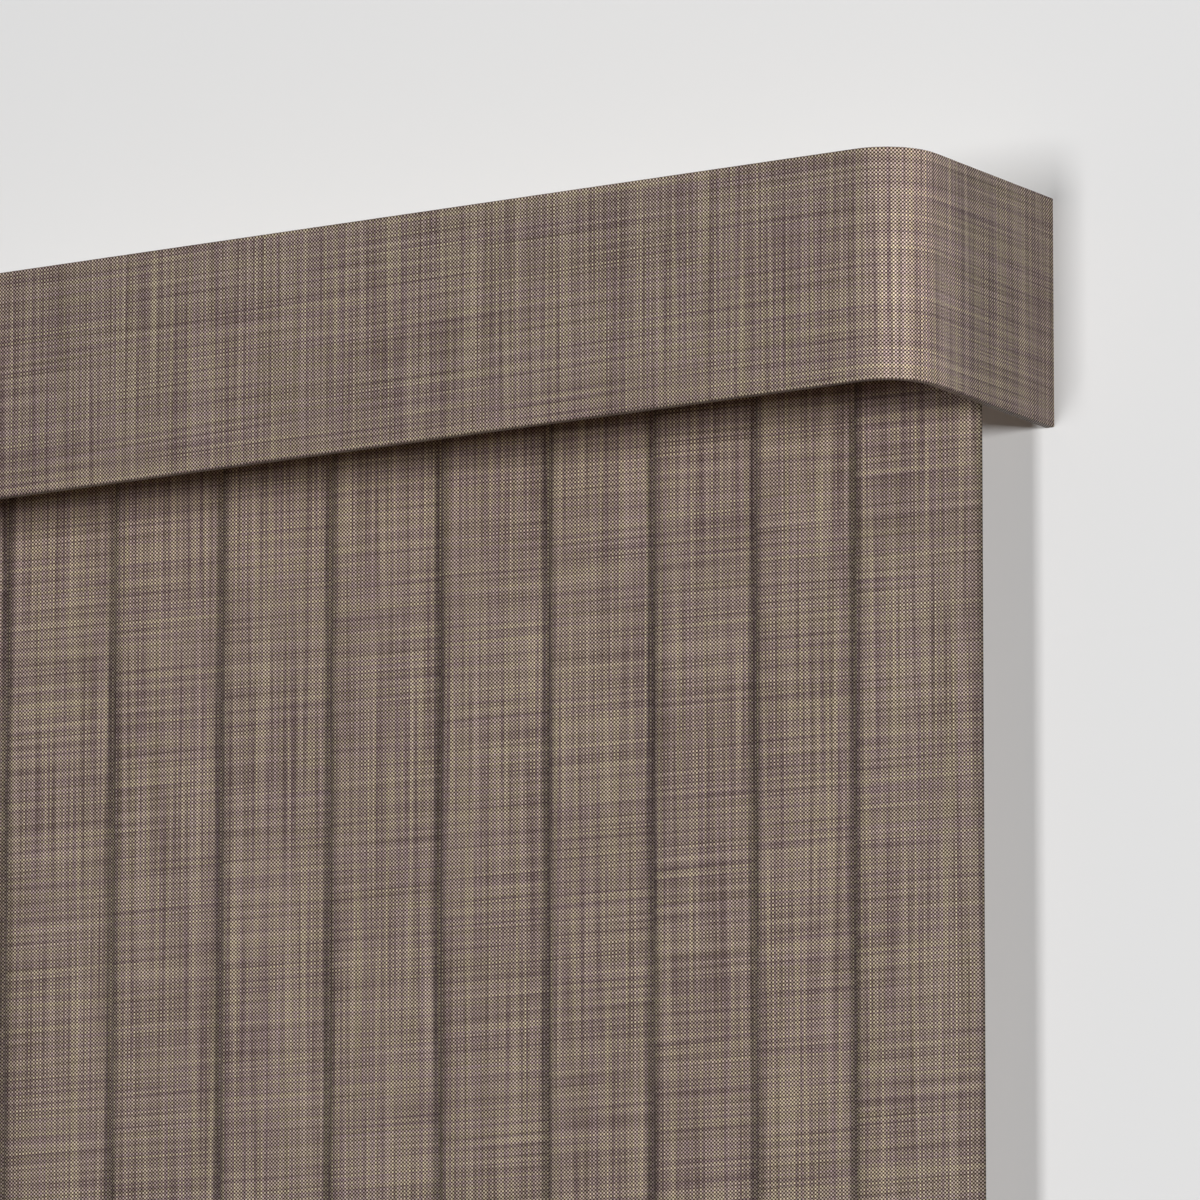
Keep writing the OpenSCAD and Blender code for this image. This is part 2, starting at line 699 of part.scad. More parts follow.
// Hexagonal wand with a clevis that hangs on the stub's eye
module wand() {
    cheek_in = eye_t / 2 + clevis_gap;
    cheek_out = cheek_in + cheek_t;
    yoke_z = -eye_r - clevis_gap;
    color(clear_plastic) at_rail(wand_x) translate([0, -gear_offset, eye_z]) {
        difference() {
            union() {
                for (side = [-cheek_out, cheek_in]) translate([side, 0, 0]) {
                    rotate([0, 90, 0]) cylinder(r = eye_r, h = cheek_t);
                    translate([0, -eye_r, yoke_z - eps]) cube([cheek_t, 2 * eye_r, -yoke_z + eps]);
                }
                slab(2 * cheek_out, -eye_r, eye_r, yoke_z - clevis_h / 2, yoke_z);
            }
            translate([-2 * cheek_out, 0, 0]) rotate([0, 90, 0])
                cylinder(r = pin_r + fit_gap, h = 4 * cheek_out);
        }
        translate([0, 0, yoke_z - clevis_h]) cylinder(r1 = wand_r, r2 = eye_r, h = clevis_h / 2 + eps);
        translate([0, 0, yoke_z - clevis_h - wand_len]) cylinder(r = wand_r, h = wand_len + eps, $fn = 6);
    }
}

// Turned grip on the lower end of the wand, waisted towards the top
module wand_grip() {
    bore_r = wand_r + fit_gap;
    end_wall = 3;
    nose_r = 2;
    taper_l = 10;
    rim = 0.8;
    groove_r = 1.2;
    groove_depth = 0.8;
    groove_n = 8;
    groove_start = 14;
    groove_pitch = 0.08 * grip_len;
    bottom = eye_z - eye_r - clevis_gap - clevis_h - wand_len - end_wall;
    color(moulding) at_rail(wand_x) translate([0, -gear_offset, bottom]) rotate_extrude() difference() {
        union() {
            translate([0, nose_r]) square([grip_r, grip_len - taper_l - nose_r]);
            square([grip_r - nose_r, 2 * nose_r]);
            translate([grip_r - nose_r, nose_r]) circle(nose_r);
            translate([0, grip_len - taper_l - eps])
                polygon([[0, 0], [grip_r, 0], [bore_r + rim, taper_l], [0, taper_l]]);
        }
        translate([0, end_wall]) square([bore_r, grip_len]);
        translate([-2 * grip_r, -grip_r]) square([2 * grip_r, 2 * grip_len]);
        for (i = [0 : groove_n - 1])
            translate([grip_r - groove_depth + groove_r, groove_start + i * groove_pitch]) circle(groove_r);
    }
}

valance_board();
valance_cover();
valance_clips();
headrail();
left_end_cap();
right_end_cap();
left_bracket();
right_bracket();
rail_clips();
clip_screws();
tilt_rod();
wand_carriage();
drive_bevel();
wand_bevel();
link_pin();
wand();
wand_grip();
for (k = vane_ids) {
    color(cloth) at_rail(vane_x(k)) vane();
    color(acetal) at_rail(vane_x(k)) stem();
    carrier(k);
    color(acetal) at_rail(vane_x(k)) worm();
}
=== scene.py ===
import json
import math

import bpy
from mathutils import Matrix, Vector


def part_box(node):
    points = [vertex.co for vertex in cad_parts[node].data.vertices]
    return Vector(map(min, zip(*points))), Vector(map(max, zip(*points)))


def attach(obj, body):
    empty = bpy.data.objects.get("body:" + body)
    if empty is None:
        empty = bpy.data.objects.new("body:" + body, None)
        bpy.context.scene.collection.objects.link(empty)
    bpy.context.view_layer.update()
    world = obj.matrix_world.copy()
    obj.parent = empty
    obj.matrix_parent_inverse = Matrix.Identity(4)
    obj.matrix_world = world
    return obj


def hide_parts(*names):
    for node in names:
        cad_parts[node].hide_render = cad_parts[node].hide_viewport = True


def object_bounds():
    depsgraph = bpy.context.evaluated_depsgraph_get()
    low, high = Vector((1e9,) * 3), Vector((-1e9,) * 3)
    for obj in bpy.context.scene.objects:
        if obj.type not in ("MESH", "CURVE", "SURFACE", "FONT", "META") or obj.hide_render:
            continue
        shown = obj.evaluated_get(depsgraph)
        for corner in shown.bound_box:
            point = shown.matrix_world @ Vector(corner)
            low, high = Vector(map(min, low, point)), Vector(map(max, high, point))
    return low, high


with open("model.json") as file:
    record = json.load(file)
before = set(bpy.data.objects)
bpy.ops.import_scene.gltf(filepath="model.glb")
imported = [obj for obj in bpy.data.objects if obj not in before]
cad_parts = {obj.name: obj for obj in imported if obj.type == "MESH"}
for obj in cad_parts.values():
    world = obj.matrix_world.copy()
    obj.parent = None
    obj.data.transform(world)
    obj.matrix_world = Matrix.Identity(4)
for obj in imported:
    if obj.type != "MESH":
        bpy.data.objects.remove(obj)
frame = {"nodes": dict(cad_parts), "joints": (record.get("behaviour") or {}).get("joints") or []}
cad_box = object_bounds()
nodes = frame["nodes"]
joints = {joint["name"]: joint for joint in frame["joints"]}

# The blind, in metres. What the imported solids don't say is repeated from the part's source.
VANE_N = 10
VANE_W = 0.089
VANE_T = 0.0007
VANE_CROWN = 0.0015
CLOSED_ANGLE = math.radians(8)
SLOT_W = 0.012
SLOT_H = 0.0032
SLOT_DROP = 0.007
CORNER_R = 0.038
COVER_T = 0.0008
GLUE_T = 0.0001
BOARD_T = 0.005
HEM_H = 0.015

# The cloth: its UV map, and the step from one vane to the next on the length that they are cut from
CLOTH_UV = "UVMap"
CUT_STEP = 0.13


def linear(red, green, blue):
    """Linear colour from display values of 0 to 255."""
    def channel(value):
        value /= 255
        return value / 12.92 if value <= 0.04045 else ((value + 0.055) / 1.055) ** 2.4
    return (channel(red), channel(green), channel(blue), 1)


class Wire:
    """One output of a node. Arithmetic on it adds Math nodes to its graph."""

    def __init__(self, graph, socket):
        self.graph = graph
        self.socket = socket

    def output(self, key):
        """Another output of the same node."""
        return Wire(self.graph, self.socket.node.outputs[key])

    def __add__(self, other):
        return self.graph.maths("ADD", self, other)

    def __sub__(self, other):
        return self.graph.maths("SUBTRACT", self, other)

    def __rsub__(self, other):
        return self.graph.maths("SUBTRACT", other, self)

    def __mul__(self, other):
        return self.graph.maths("MULTIPLY", self, other)

    def __truediv__(self, other):
        return self.graph.maths("DIVIDE", self, other)

    def __mod__(self, other):
        return self.graph.maths("FLOORED_MODULO", self, other)

    def __pow__(self, other):
        return self.graph.maths("POWER", self, other)

    __radd__ = __add__
    __rmul__ = __mul__


class Graph:
    """A node tree that is written as expressions."""

    def __init__(self, tree):
        self.tree = tree

    def join(self, wire, socket):
        self.tree.links.new(wire.socket, socket)

    def node(self, kind, settings=None, inputs=None, output=0):
        """A new node with its settings and its inputs, as values or wires. Gives one of its outputs."""
        made = self.tree.nodes.new(kind)
        for key, value in (settings or {}).items():
            setattr(made, key, value)
        for key, value in (inputs or {}).items():
            if isinstance(value, Wire):
                self.join(value, made.inputs[key])
            else:
                made.inputs[key].default_value = value
        return Wire(self, made.outputs[output]) if made.outputs else None

    def maths(self, operation, *values):
        return self.node("ShaderNodeMath", {"operation": operation}, dict(enumerate(values)))

    def vector(self, x, y, z=0):
        return self.node("ShaderNodeCombineXYZ", None, {0: x, 1: y, 2: z})


class Finish(Graph):
    """A material round one Principled shader."""

    def __init__(self, name, constants):
        self.material = bpy.data.materials.new(name)
        self.material.use_nodes = True
        super().__init__(self.material.node_tree)
        self.shader = self.tree.nodes["Principled BSDF"]
        for key, value in constants.items():
            self.shader.inputs[key].default_value = value

    def paint(self, **wires):
        """Joins wires to the shader's sockets and gives the finished material."""
        for key, wire in wires.items():
            self.join(wire, self.shader.inputs[key.replace("_", " ")])
        return self.material

    def place(self):
        return self.node("ShaderNodeTexCoord", output="Object")

    def grain(self, x, y, z, detail=2):
        """Noise in the piece, with so many grains to the metre along each axis."""
        place = self.node("ShaderNodeMapping", None, {"Vector": self.place(), "Scale": (x, y, z)})
        return self.node(
            "ShaderNodeTexNoise", None, {"Vector": place, "Scale": 1, "Detail": detail})

    def streaks(self, x, y):
        """Noise on a sheet, drawn out along the way that has the smaller steps."""
        return self.node(
            "ShaderNodeTexNoise", {"noise_dimensions": "2D"},
            {"Vector": self.vector(x, y), "Scale": 1, "Detail": 1})

    def mix(self, factor, first, second):
        return self.node(
            "ShaderNodeMix", {"data_type": "RGBA"}, {0: factor, 6: first, 7: second}, output=2)

    def scaled(self, colour, factor):
        return self.node(
            "ShaderNodeVectorMath", {"operation": "SCALE"}, {0: colour, "Scale": factor})

    def tinted(self, colour, tint):
        return self.node(
            "ShaderNodeVectorMath", {"operation": "MULTIPLY"}, {0: colour, 1: tint})

    def bump(self, height, strength, distance):
        return self.node(
            "ShaderNodeBump", None, {"Height": height, "Strength": strength, "Distance": distance})

    def spread(self, value, given, wanted=(0, 1)):
        """Maps the given range of a value to the wanted one, and holds it inside."""
        return self.node("ShaderNodeMapRange", None, {
            "Value": value, "From Min": given[0], "From Max": given[1],
            "To Min": wanted[0], "To Max": wanted[1]})


# Materials

def woven_cloth(name, painted_highlight_at=(), cut_step=None):
    """Plain weave of pale warp and dark brown weft with slubs, on UVs in metres.

    The cloth is painted paler across each of the places given along it, as a painted highlight. Where
    vanes are cut from it, one to each step, the cloth is painted darker towards their long edges, as
    painted shade."""
    yarn_across = 0.00122
    yarn_up = 0.00120
    warp_brown, warp_pale = linear(121, 105, 95), linear(200, 183, 171)
    weft_dark, weft_brown = linear(26, 14, 8), linear(66, 46, 34)
    mauve_lean, gold_lean = (0.98, 0.925, 1.1, 1), (1.02, 1.075, 0.905, 1)
    slub_warp, slub_weft = 1.45, 1.15
    band_warp, band_weft = 0.14, 0.1
    dye_slub, dye_warp, dye_weft = 0.8, 1.6, 1.3
    gap_shade, crown_shade = 0.52, 0.78
    weft_relief, warp_relief = 0.6, 0.4
    # Painted highlight across the bends: its half width, its gain and how much the slubs vary it
    painted_highlight_half, painted_highlight_gain, painted_highlight_slub = 0.050, 0.57, 0.3
    # Painted shade towards the vanes' long edges: its width, its fall-off and its depth
    painted_shade_w, painted_shade_fade, painted_shade_loss = 0.014, 3.5, 0.65

    cloth = Finish(name, {"Roughness": 0.4, "Specular IOR Level": 0.08})
    uv = cloth.node("ShaderNodeUVMap", {"uv_map": CLOTH_UV})
    along = cloth.node("ShaderNodeSeparateXYZ", None, {0: uv})
    across = along / yarn_across
    up = along.output(1) / yarn_up
    column = cloth.maths("FLOOR", across)
    row = cloth.maths("FLOOR", up)
    warp_over = (column + row) % 2
    warp_crown = 1 - (2 * (across - column) - 1) ** 2
    weft_crown = 1 - (2 * (up - row) - 1) ** 2
    crown = cloth.node("ShaderNodeMix", None, {0: warp_over, 2: weft_crown, 3: warp_crown})

    def drift(warp_yarn, weft_yarn, apart, run, start=(0, 0)):
        """Slow change along the warp and along the weft, each about nought.

        apart is the step in the noise from yarn to yarn, and run the step along a yarn."""
        warp = cloth.streaks(warp_yarn * apart[0] + start[0], up * run[0])
        weft = cloth.streaks(across * run[1], weft_yarn * apart[1] + start[1])
        return warp - 0.5, weft - 0.5

    # Slubs are single yarns and bands are several together. Dye leans each yarn to gold or to mauve,
    # the pale ones more to gold.
    warp_slub, weft_slub = drift(column, row, apart=(7.31, 5.77), run=(0.007, 0.008))
    warp_band, weft_band = drift(across, up, apart=(0.07, 0.05), run=(0.006, 0.006))
    warp_dye, weft_dye = drift(column, row, apart=(5.13, 4.37), run=(0.006, 0.007), start=(31, 17))
    slubs = warp_slub * slub_warp + weft_slub * slub_weft
    tone = slubs + warp_band * band_warp + weft_band * band_weft + 0.5
    dye = slubs * dye_slub + warp_dye * dye_warp + weft_dye * dye_weft + 0.5

    shade = gap_shade + crown * crown_shade
    # Painted highlight: the cloth is painted paler across each given place
    for place in painted_highlight_at:
        rubbed_and_painted_highlight = cloth.maths("MAXIMUM", 1 - ((along - place) / painted_highlight_half) ** 2, 0)
        shade = shade * (1 + rubbed_and_painted_highlight * (painted_highlight_gain + warp_slub * painted_highlight_slub))
    # Painted shade: each vane's cloth is darker towards its long edges, in place of the shadow between
    # overlapping vanes
    if cut_step:
        from_middle = cloth.maths("ABSOLUTE", (along + cut_step / 2) % cut_step - cut_step / 2)
        painted_shade = cloth.maths("MAXIMUM", 1 - (VANE_W / 2 - from_middle) / painted_shade_w, 0)
        shade = shade * (1 - painted_shade ** painted_shade_fade * painted_shade_loss)

    warp = cloth.mix(tone, warp_brown, warp_pale)
    weft = cloth.mix(tone, weft_dark, weft_brown)
    dyed = cloth.tinted(cloth.mix(warp_over, weft, warp), cloth.mix(dye, mauve_lean, gold_lean))
    height = crown * (weft_relief + warp_over * warp_relief)
    return cloth.paint(
        Base_Color=cloth.scaled(dyed, shade),
        Normal=cloth.bump(height, strength=0.25, distance=0.0003))


def white_coat():
    """Powder coat on the extruded headrail, with fine orange peel and handling marks."""
    coat = Finish("white_coat", {"Specular IOR Level": 0.45})
    peel = coat.grain(900, 900, 900)
    marks = coat.grain(6, 60, 60, detail=4)
    return coat.paint(
        Base_Color=coat.mix(
            coat.spread(marks, (0.35, 0.7)), linear(229, 229, 225), linear(240, 240, 237)),
        Roughness=coat.spread(marks, (0.3, 0.7), (0.34, 0.48)),
        Normal=coat.bump(peel, strength=0.12, distance=0.0002))


def mill_alloy():
    """Drawn aluminium, with die lines along the rod."""
    alloy = Finish("mill_alloy", {"Metallic": 1})
    lines = alloy.grain(8, 2600, 2600, detail=3)
    haze = alloy.grain(30, 60, 60, detail=3)
    return alloy.paint(
        Base_Color=alloy.mix(lines, linear(186, 188, 191), linear(216, 218, 221)),
        Roughness=alloy.spread(haze, (0.3, 0.7), (0.26, 0.42)),
        Normal=alloy.bump(lines, strength=0.15, distance=0.0001))


def zinc_plate():
    """Zinc plated steel, with a pale crystal bloom and brushed scratches."""
    zinc = Finish("zinc_plate", {"Metallic": 1})
    bloom = zinc.node(
        "ShaderNodeTexVoronoi", {"feature": "SMOOTH_F1"}, {"Vector": zinc.place(), "Scale": 260})
    scratch = zinc.grain(900, 60, 60, detail=3)
    tone = bloom * 0.5 + scratch * 0.5
    tone_range = (0.2, 0.7)
    return zinc.paint(
        Base_Color=zinc.mix(
            zinc.spread(tone, tone_range), linear(160, 163, 168), linear(203, 205, 206)),
        Roughness=zinc.spread(tone, tone_range, (0.28, 0.46)),
        Normal=zinc.bump(scratch, strength=0.1, distance=0.0001))


def moulded(name, low, high, roughness):
    """Moulded plastic with a fine spark-eroded grain and faint flow marks."""
    plastic = Finish(name, {"Specular IOR Level": 0.5})
    spark = plastic.grain(2600, 2600, 2600)
    flow = plastic.grain(70, 70, 70, detail=3)
    flow_range = (0.3, 0.7)
    return plastic.paint(
        Base_Color=plastic.mix(plastic.spread(flow, flow_range), low, high),
        Roughness=plastic.spread(flow, flow_range, roughness),
        Normal=plastic.bump(spark, strength=0.15, distance=0.0001))


def clear_plastic():
    """Clear extruded plastic of the wand, with faint draw lines and rubbed patches."""
    clear = Finish("clear_plastic", {"Transmission Weight": 0.92, "IOR": 1.49})
    lines = clear.grain(1500, 1500, 6)
    rubbed_and_painted_highlight = clear.grain(120, 120, 25, detail=3)
    return clear.paint(
        Base_Color=clear.mix(rubbed_and_painted_highlight, linear(226, 234, 236), linear(245, 249, 250)),
        Roughness=clear.spread(rubbed_and_painted_highlight, (0.35, 0.75), (0.05, 0.22)),
        Normal=clear.bump(lines, strength=0.06, distance=0.0001))


def bent_board():
    """Thin bent board behind the cloth, with pale grain along the valance."""
    board = Finish("bent_board", {"Specular IOR Level": 0.3})
    years = board.grain(9, 9, 420, detail=5)
    pores = board.grain(60, 60, 1900)
    year_range = (0.3, 0.7)
    wood = board.mix(
        board.spread(years, year_range), linear(176, 140, 100), linear(208, 178, 138))
    return board.paint(
        Base_Color=board.scaled(wood, board.spread(pores, (0.35, 0.6), (0.86, 1))),
        Roughness=board.spread(years, year_range, (0.7, 0.85)),
        Normal=board.bump(pores, strength=0.2, distance=0.0002))


def seen_rays(graph):
    """One for what the camera sees, straight or in metal and glass, and nought for bounced light."""
    path = graph.node("ShaderNodeLightPath")
    mirrored = graph.maths(
        "MAXIMUM", path.output("Is Glossy Ray"), path.output("Is Transmission Ray"))
    return graph.maths("MAXIMUM", path.output("Is Camera Ray"), mirrored)


def stage_paint(name, colour, glow):
    """Stage surface: dark to bounced light, and clear from behind so that the back shows too."""
    bounced = linear(105, 105, 105)
    no_glow = (0, 0, 0, 1)
    paint = Finish(name, {"Specular IOR Level": 0, "Emission Strength": 1})
    seen = seen_rays(paint)
    paint.paint(
        Base_Color=paint.mix(seen, bounced, colour),
        Emission_Color=paint.mix(seen, no_glow, glow))
    behind = paint.node("ShaderNodeNewGeometry", output="Backfacing")
    shadow = paint.node("ShaderNodeLightPath", output="Is Shadow Ray")
    shown = paint.node("ShaderNodeMixShader", None, {
        0: paint.maths("MAXIMUM", behind, shadow), 1: Wire(paint, paint.shader.outputs[0]),
        2: paint.node("ShaderNodeBsdfTransparent")})
    paint.join(shown, paint.tree.nodes["Material Output"].inputs["Surface"])
    return paint.material


# Pieces

def new_piece(name, vertices, faces, edges=(), uvs=None, material=None):
    """Mesh object at the origin, with one UV for each vertex."""
    mesh = bpy.data.meshes.new(name)
    mesh.from_pydata(vertices, edges, faces)
    if uvs:
        layer = mesh.uv_layers.new(name=CLOTH_UV)
        for loop in mesh.loops:
            layer.data[loop.index].uv = uvs[loop.vertex_index]
    if material:
        mesh.materials.append(material)
    piece = bpy.data.objects.new(name, mesh)
    bpy.context.scene.collection.objects.link(piece)
    return piece


def settle(piece):
    """Turns the piece's modifiers into a plain mesh, shaded smooth but for its rims."""
    rim_angle = math.radians(50)
    graph = bpy.context.evaluated_depsgraph_get()
    mesh = bpy.data.meshes.new_from_object(
        piece.evaluated_get(graph), preserve_all_data_layers=True, depsgraph=graph)
    piece.modifiers.clear()
    piece.data = mesh
    mesh.polygons.foreach_set("use_smooth", [True] * len(mesh.polygons))
    mesh.set_sharp_from_angle(angle=rim_angle)


def thicken(piece, thickness):
    """Gives a sheet its thickness, half to each side."""
    solid = piece.modifiers.new("thickness", "SOLIDIFY")
    solid.thickness = thickness
    solid.offset = 0
    solid.use_even_offset = True


class Shaper(Graph):
    """A Geometry Nodes tree with named inputs."""

    def __init__(self, name, inputs):
        tree = bpy.data.node_groups.new(name, "GeometryNodeTree")
        super().__init__(tree)
        for way in ("INPUT", "OUTPUT"):
            tree.interface.new_socket("Geometry", in_out=way, socket_type="NodeSocketGeometry")
        self.keys = {}
        for title, kind in inputs.items():
            socket = tree.interface.new_socket(
                title, in_out="INPUT", socket_type="NodeSocket" + kind)
            self.keys[title] = socket.identifier
        self.given = self.node("NodeGroupInput")

    def end(self, geometry, material):
        real = self.node("GeometryNodeRealizeInstances", None, {0: geometry})
        painted = self.node("GeometryNodeSetMaterial", None, {0: real, "Material": material})
        self.node("NodeGroupOutput", None, {0: painted})

    def use(self, piece, **values):
        """Adds the tree to a piece, with its inputs set by their identifiers."""
        modifier = piece.modifiers.new(self.tree.name, "NODES")
        modifier.node_group = self.tree
        for title, value in values.items():
            modifier[self.keys[title.replace("_", " ")]] = value


def vane_shaper():
    """Bows a flat-cut vane, rolls its long edges back, turns it closed and hangs it on its stem."""
    bow_power, roll_power = 2, 12
    shaper = Shaper("hung_vane", {
        "Width": "Float", "Crown": "Float", "Edge Roll": "Float", "Tilt": "Float",
        "Stem": "Vector", "Cut Offset": "Float", "Cloth": "Material"})
    given = shaper.given
    place = shaper.node("GeometryNodeInputPosition")
    across = shaper.node("ShaderNodeSeparateXYZ", None, {0: place})
    side = shaper.maths("ABSOLUTE", across * 2 / given.output("Width"))
    roll = given.output("Edge Roll")
    bow = given.output("Crown") * ((1 - roll) * side ** bow_power + roll * side ** roll_power)
    bowed = shaper.node(
        "GeometryNodeSetPosition", None, {0: given, "Offset": shaper.vector(0, bow)})
    cut = shaper.node(
        "GeometryNodeInputNamedAttribute", {"data_type": "FLOAT_VECTOR"}, {"Name": CLOTH_UV})
    moved = shaper.node(
        "ShaderNodeVectorMath", {"operation": "ADD"},
        {0: cut, 1: shaper.vector(given.output("Cut Offset"), 0)})
    marked = shaper.node(
        "GeometryNodeStoreNamedAttribute", {"data_type": "FLOAT2", "domain": "CORNER"},
        {0: bowed, "Name": CLOTH_UV, "Value": moved})
    hung = shaper.node("GeometryNodeTransform", None, {
        0: marked, "Translation": given.output("Stem"),
        "Rotation": shaper.vector(0, 0, given.output("Tilt"))})
    shaper.end(hung, given.output("Cloth"))
    return shaper


def flat_vane(name, length):
    """A vane as it is cut: flat, top edge at Z 0, with its punched hanging slot."""
    half_mm = [0, 6, 11, 16, 22, 27, 31, 34, 36.5, 38.5, 40.3, 41.8, 43.2, 44.5]
    rows = 54
    xs = [-0.001 * x for x in half_mm[:0:-1]] + [0.001 * x for x in half_mm]
    slot_foot = SLOT_DROP + SLOT_H
    zs = [0, -SLOT_DROP] + [-slot_foot - (length - slot_foot) * i / rows for i in range(rows + 1)]
    vertices = [(x, 0, z) for z in zs for x in xs]
    uvs = [(x, z) for z in zs for x in xs]
    n = len(xs)
    faces = []
    for j in range(len(zs) - 1):
        for i in range(n - 1):
            in_slot = j == 1 and abs(xs[i] + xs[i + 1]) < SLOT_W
            if not in_slot:
                a = j * n + i
                faces.append((a, a + n, a + n + 1, a + 1))
    return new_piece(name, vertices, faces, uvs=uvs)


def hang_vanes(cloth):
    """The ten vanes, each a sheet that hangs on its own stem."""
    edge_roll = 0.7
    shaper = vane_shaper()
    for k in range(1, VANE_N + 1):
        tag = f"{k:02d}"
        low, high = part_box(f"vane_{tag}")
        length = high.z - low.z
        stem = joints["tilt" if k == 1 else f"tilt_{tag}"]["pos_m"]
        vane = flat_vane(f"vane_cloth_{tag}", length)
        shaper.use(
            vane, Width=VANE_W, Crown=VANE_CROWN, Edge_Roll=edge_roll, Tilt=CLOSED_ANGLE,
            Stem=(stem[0], stem[1], high.z), Cut_Offset=CUT_STEP * k, Cloth=cloth)
        thicken(vane, VANE_T)
        settle(vane)
        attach(vane, f"hanging_vane_{tag}")
        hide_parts(f"vane_{tag}")


def evenly(start, end, step):
    """Even stations from start up to, but without, end."""
    count = max(1, round(abs(end - start) / step))
    return [start + (end - start) * i / count for i in range(count)]


def valance_path(width, depth):
    """Stations round the valance from the left wall end to the right one.

    Each is a point on the outer face and the way inwards from it."""
    return_step = 0.012
    front_step = 0.015
    turns = 16
    half = width / 2
    front = -depth
    bend = front + CORNER_R
    turned = [math.pi / 2 * i / turns for i in range(turns)]

    def corner(side, ways):
        centre = side * (half - CORNER_R)
        return [((centre - CORNER_R * x, bend - CORNER_R * y), (x, y)) for x, y in ways]

    stations = [((-half, y), (1, 0)) for y in evenly(0, bend, return_step)]
    stations += corner(-1, [(math.cos(angle), math.sin(angle)) for angle in turned])
    stations += [((x, front), (0, 1)) for x in evenly(-half + CORNER_R, half - CORNER_R, front_step)]
    stations += corner(1, [(-math.sin(angle), math.cos(angle)) for angle in turned])
    stations += [((half, y), (-1, 0)) for y in evenly(bend, 0, return_step)]
    stations.append(((half, 0), (-1, 0)))
    return stations


def cover_profile(low, high):
    """The cloth's middle line round the board, from the top hem to the lower one.

    Each point is an inset from the outer face and a height."""
    fold_r = 0.0007
    fold_turns = 4
    face_shares = (0.02, 0.1, 0.25, 0.4, 0.5, 0.6, 0.75, 0.9, 0.98)
    skin = COVER_T / 2
    inner = COVER_T + GLUE_T + BOARD_T + GLUE_T + skin
    inner_fold, outer_fold = inner - fold_r, skin + fold_r
    top_fold, low_fold = high - skin - fold_r, low + skin + fold_r

    def fold(inset, height, start):
        angles = [math.radians(start + 90 * i / fold_turns) for i in range(fold_turns + 1)]
        return [(inset + fold_r * math.cos(a), height + fold_r * math.sin(a)) for a in angles]

    line = [(inner, high - HEM_H), (inner, high - HEM_H / 2)]
    line += fold(inner_fold, top_fold, 0) + fold(outer_fold, top_fold, 90)
    line += [(skin, high + (low - high) * share) for share in face_shares]
    line += fold(outer_fold, low_fold, 180) + fold(inner_fold, low_fold, 270)
    line += [(inner, low + HEM_H / 2), (inner, low + HEM_H)]
    return line


def distances(points):
    """How far each point is along the line through them."""
    run = [0]
    for first, second in zip(points, points[1:]):
        run.append(run[-1] + math.dist(first, second))
    return run


def wrap_valance():
    """The cloth that is pulled over the valance board, with hems turned in behind it."""
    painted_highlight_share = 0.85
    low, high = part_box("valance_cover")
    width, depth = high.x - low.x, high.y - low.y
    stations = valance_path(width, depth)
    profile = cover_profile(low.z, high.z)
    run = distances([point for point, way in stations])
    girth = distances(profile)

    # Each bend has its painted highlight most near its return
    bend = math.pi / 2 * CORNER_R
    side_run = depth - CORNER_R
    front_run = width - 2 * CORNER_R
    first_painted_highlight = side_run + (1 - painted_highlight_share) * bend
    last_painted_highlight = side_run + bend + front_run + painted_highlight_share * bend
    cloth = woven_cloth("valance_weave", painted_highlight_at=[first_painted_highlight, last_painted_highlight])

    vertices = []
    uvs = []
    for (point, way), along in zip(stations, run):
        for (inset, z), round_board in zip(profile, girth):
            vertices.append((point[0] + inset * way[0], point[1] + inset * way[1], z))
            uvs.append((along, -round_board))
    n = len(profile)
    faces = [
        (i * n + j, i * n + j + 1, (i + 1) * n + j + 1, (i + 1) * n + j)
        for i in range(len(stations) - 1) for j in range(n - 1)]
    cover = new_piece("valance_cloth", vertices, faces, uvs=uvs, material=cloth)
    thicken(cover, COVER_T)
    settle(cover)
    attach(cover, "rail_frame")
    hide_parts("valance_cover")


def staple_shaper():
    """Sets wire staples at even steps along the hem lines, with their crowns lying along them."""
    leg_wires = 3
    shaper = Shaper("hem_staples", {
        "Step": "Float", "Crown": "Float", "Wire": "Float", "Stand": "Float", "Steel": "Material"})
    given = shaper.given
    half = given.output("Crown") * 0.5
    leg = given.output("Wire") * -leg_wires
    # A Bezier's middle lies a quarter of the way back from its handles to its ends
    bridge = given.output("Stand") * 1.333 - leg * 0.333
    wire_line = shaper.node("GeometryNodeCurvePrimitiveBezierSegment", {"mode": "POSITION"}, {
        "Resolution": 10,
        "Start": shaper.vector(0 - half, leg), "Start Handle": shaper.vector(0 - half, bridge),
        "End Handle": shaper.vector(half, bridge), "End": shaper.vector(half, leg)})
    section = shaper.node(
        "GeometryNodeCurvePrimitiveCircle", None,
        {"Resolution": 8, "Radius": given.output("Wire") * 0.5})
    staple = shaper.node(
        "GeometryNodeCurveToMesh", None,
        {"Curve": wire_line, "Profile Curve": section, "Fill Caps": True})
    line = shaper.node("GeometryNodeMeshToCurve", None, {0: given})
    steps = shaper.node(
        "GeometryNodeCurveToPoints", {"mode": "LENGTH"},
        {"Curve": line, "Length": given.output("Step")})
    along = shaper.node(
        "FunctionNodeAlignRotationToVector", {"axis": "X", "pivot_axis": "Z"},
        {"Vector": steps.output("Tangent")})
    placed = shaper.node(
        "GeometryNodeInstanceOnPoints", None,
        {"Points": steps, "Instance": staple, "Rotation": along})
    shaper.end(placed, given.output("Steel"))
    return shaper


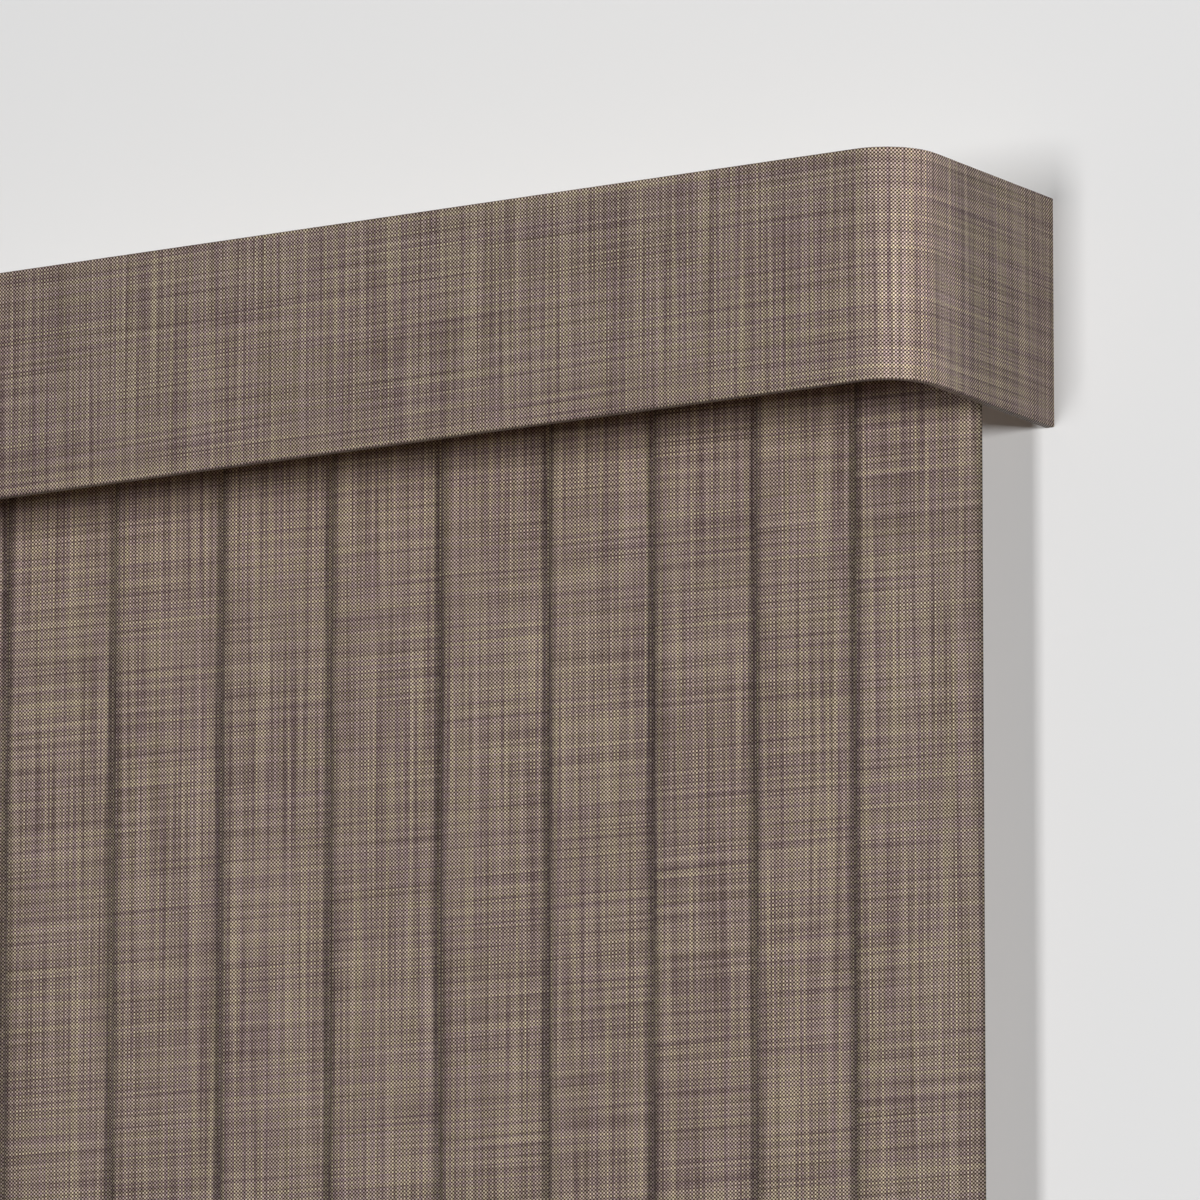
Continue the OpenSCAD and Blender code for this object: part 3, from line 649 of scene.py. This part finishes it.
def staple_hems(steel):
    """Staples that hold both turned-in hems of the cover to the inside of the board."""
    from_edge = 0.005
    from_wall = 0.015
    low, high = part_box("valance_cover")
    inner = 2 * COVER_T + 2 * GLUE_T + BOARD_T
    stations = [
        (point, way) for point, way in valance_path(high.x - low.x, high.y - low.y)
        if point[1] < -from_wall]
    points = []
    edges = []
    for z in (high.z - HEM_H + from_edge, low.z + HEM_H - from_edge):
        first = len(points)
        points += [
            (point[0] + inner * way[0], point[1] + inner * way[1], z) for point, way in stations]
        edges += [(i, i + 1) for i in range(first, len(points) - 1)]
    staples = new_piece("hem_staples", points, [], edges=edges)
    staple_shaper().use(
        staples, Step=0.042, Crown=0.0105, Wire=0.0008, Stand=0.0003, Steel=steel)
    settle(staples)
    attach(staples, "rail_frame")


# Stage

def set_stage():
    """Pale wall that the blind hangs on, and a pale floor below it."""
    reach = 4
    top = 2.4
    behind_blind = 0.0006
    floor_z = cad_box[0].z - 0.07
    wall_white = linear(231, 231, 231)
    floor_white = linear(226, 226, 224)
    floor_glow = linear(168, 168, 167)
    no_glow = (0, 0, 0, 1)

    def sheet(name, corners, paint):
        new_piece(name, corners, [(0, 1, 2, 3)], material=paint)

    sheet(
        "wall", [
            (-reach, behind_blind, floor_z), (reach, behind_blind, floor_z),
            (reach, behind_blind, top), (-reach, behind_blind, top)],
        stage_paint("wall_paint", wall_white, no_glow))
    sheet(
        "floor", [
            (-reach, -reach, floor_z), (reach, -reach, floor_z),
            (reach, reach, floor_z), (-reach, reach, floor_z)],
        stage_paint("floor_paint", floor_white, floor_glow))


def lamp(name, azimuth, elevation, width, height, level):
    """Soft light far from the blind. Level 1 alone shows a white surface that faces it as white."""
    distance = 20
    target = Vector((0.2, -0.1, -0.25))
    data = bpy.data.lights.new(name, "AREA")
    data.shape = "RECTANGLE"
    data.size = width
    data.size_y = height
    data.energy = level * (math.pi * distance) ** 2
    light = bpy.data.objects.new(name, data)
    bpy.context.scene.collection.objects.link(light)
    a, e = math.radians(azimuth), math.radians(elevation)
    away = Vector((math.sin(a) * math.cos(e), -math.cos(a) * math.cos(e), math.sin(e)))
    light.location = target + away * distance
    light.rotation_euler = (-away).to_track_quat("-Z", "Y").to_euler()
    light.visible_camera = False


def set_light():
    """A lamp from the right, a weaker one from the front, one from behind, and a dim room."""
    room_level = 0.08
    seen_level = 0.65
    lamp("right_light", azimuth=51, elevation=-3, width=2.4, height=3.6, level=0.75)
    lamp("front_light", azimuth=-4.5, elevation=-6, width=3.1, height=4.6, level=0.4)
    lamp("back_light", azimuth=200, elevation=34, width=7, height=7, level=0.7)
    world = bpy.data.worlds.new("room")
    world.use_nodes = True
    room = Graph(world.node_tree)
    background = room.tree.nodes["Background"]
    background.inputs["Color"].default_value = (1, 1, 1, 1)
    room.join(room_level + seen_rays(room) * seen_level, background.inputs["Strength"])
    bpy.context.scene.world = world


def set_camera():
    """Long lens from below on the right, fitted to the valance's edges and the vanes."""
    yaw = math.radians(31.975)
    pitch = math.radians(11.980)
    aim = Vector((0.21968, -0.18, -0.23251))
    distance = 10.2756
    ahead = Vector((
        -math.sin(yaw) * math.cos(pitch), math.cos(yaw) * math.cos(pitch), math.sin(pitch)))
    data = bpy.data.cameras.new("camera")
    data.sensor_width = 36
    data.lens = 480
    data.clip_end = 100
    camera = bpy.data.objects.new("camera", data)
    bpy.context.scene.collection.objects.link(camera)
    camera.location = aim - ahead * distance
    camera.rotation_euler = ahead.to_track_quat("-Z", "Y").to_euler()
    bpy.context.scene.camera = camera


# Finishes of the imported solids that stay, by their nodes

def numbered(name):
    return [f"{name}_{k:02d}" for k in range(1, VANE_N + 1)]


def finish_solids(zinc):
    white = moulded(
        "white_moulding", linear(226, 226, 221), linear(238, 238, 234), roughness=(0.38, 0.52))
    acetal = moulded(
        "natural_acetal", linear(214, 214, 206), linear(230, 230, 222), roughness=(0.28, 0.4))
    finishes = [
        (white_coat(), ["headrail"]),
        (mill_alloy(), ["tilt_rod"]),
        (clear_plastic(), ["wand"]),
        (bent_board(), ["valance_board"]),
        (zinc, [
            "valance_clips", "left_bracket", "right_bracket", "rail_clips", "clip_screws", "link_pin"]),
        (white, ["left_end_cap", "right_end_cap", "wand_carriage", "wand_grip"] + numbered("carrier")),
        (acetal, ["drive_bevel", "wand_bevel"] + numbered("stem") + numbered("worm")),
    ]
    for material, names in finishes:
        for name in names:
            slots = nodes[name].data.materials
            slots.clear()
            slots.append(material)


bpy.context.scene.view_settings.view_transform = "Standard"
set_camera()
set_light()
set_stage()

hang_vanes(woven_cloth("vane_weave", cut_step=CUT_STEP))
wrap_valance()
zinc_steel = zinc_plate()
finish_solids(zinc_steel)
staple_hems(zinc_steel)

bpy.context.view_layer.update()
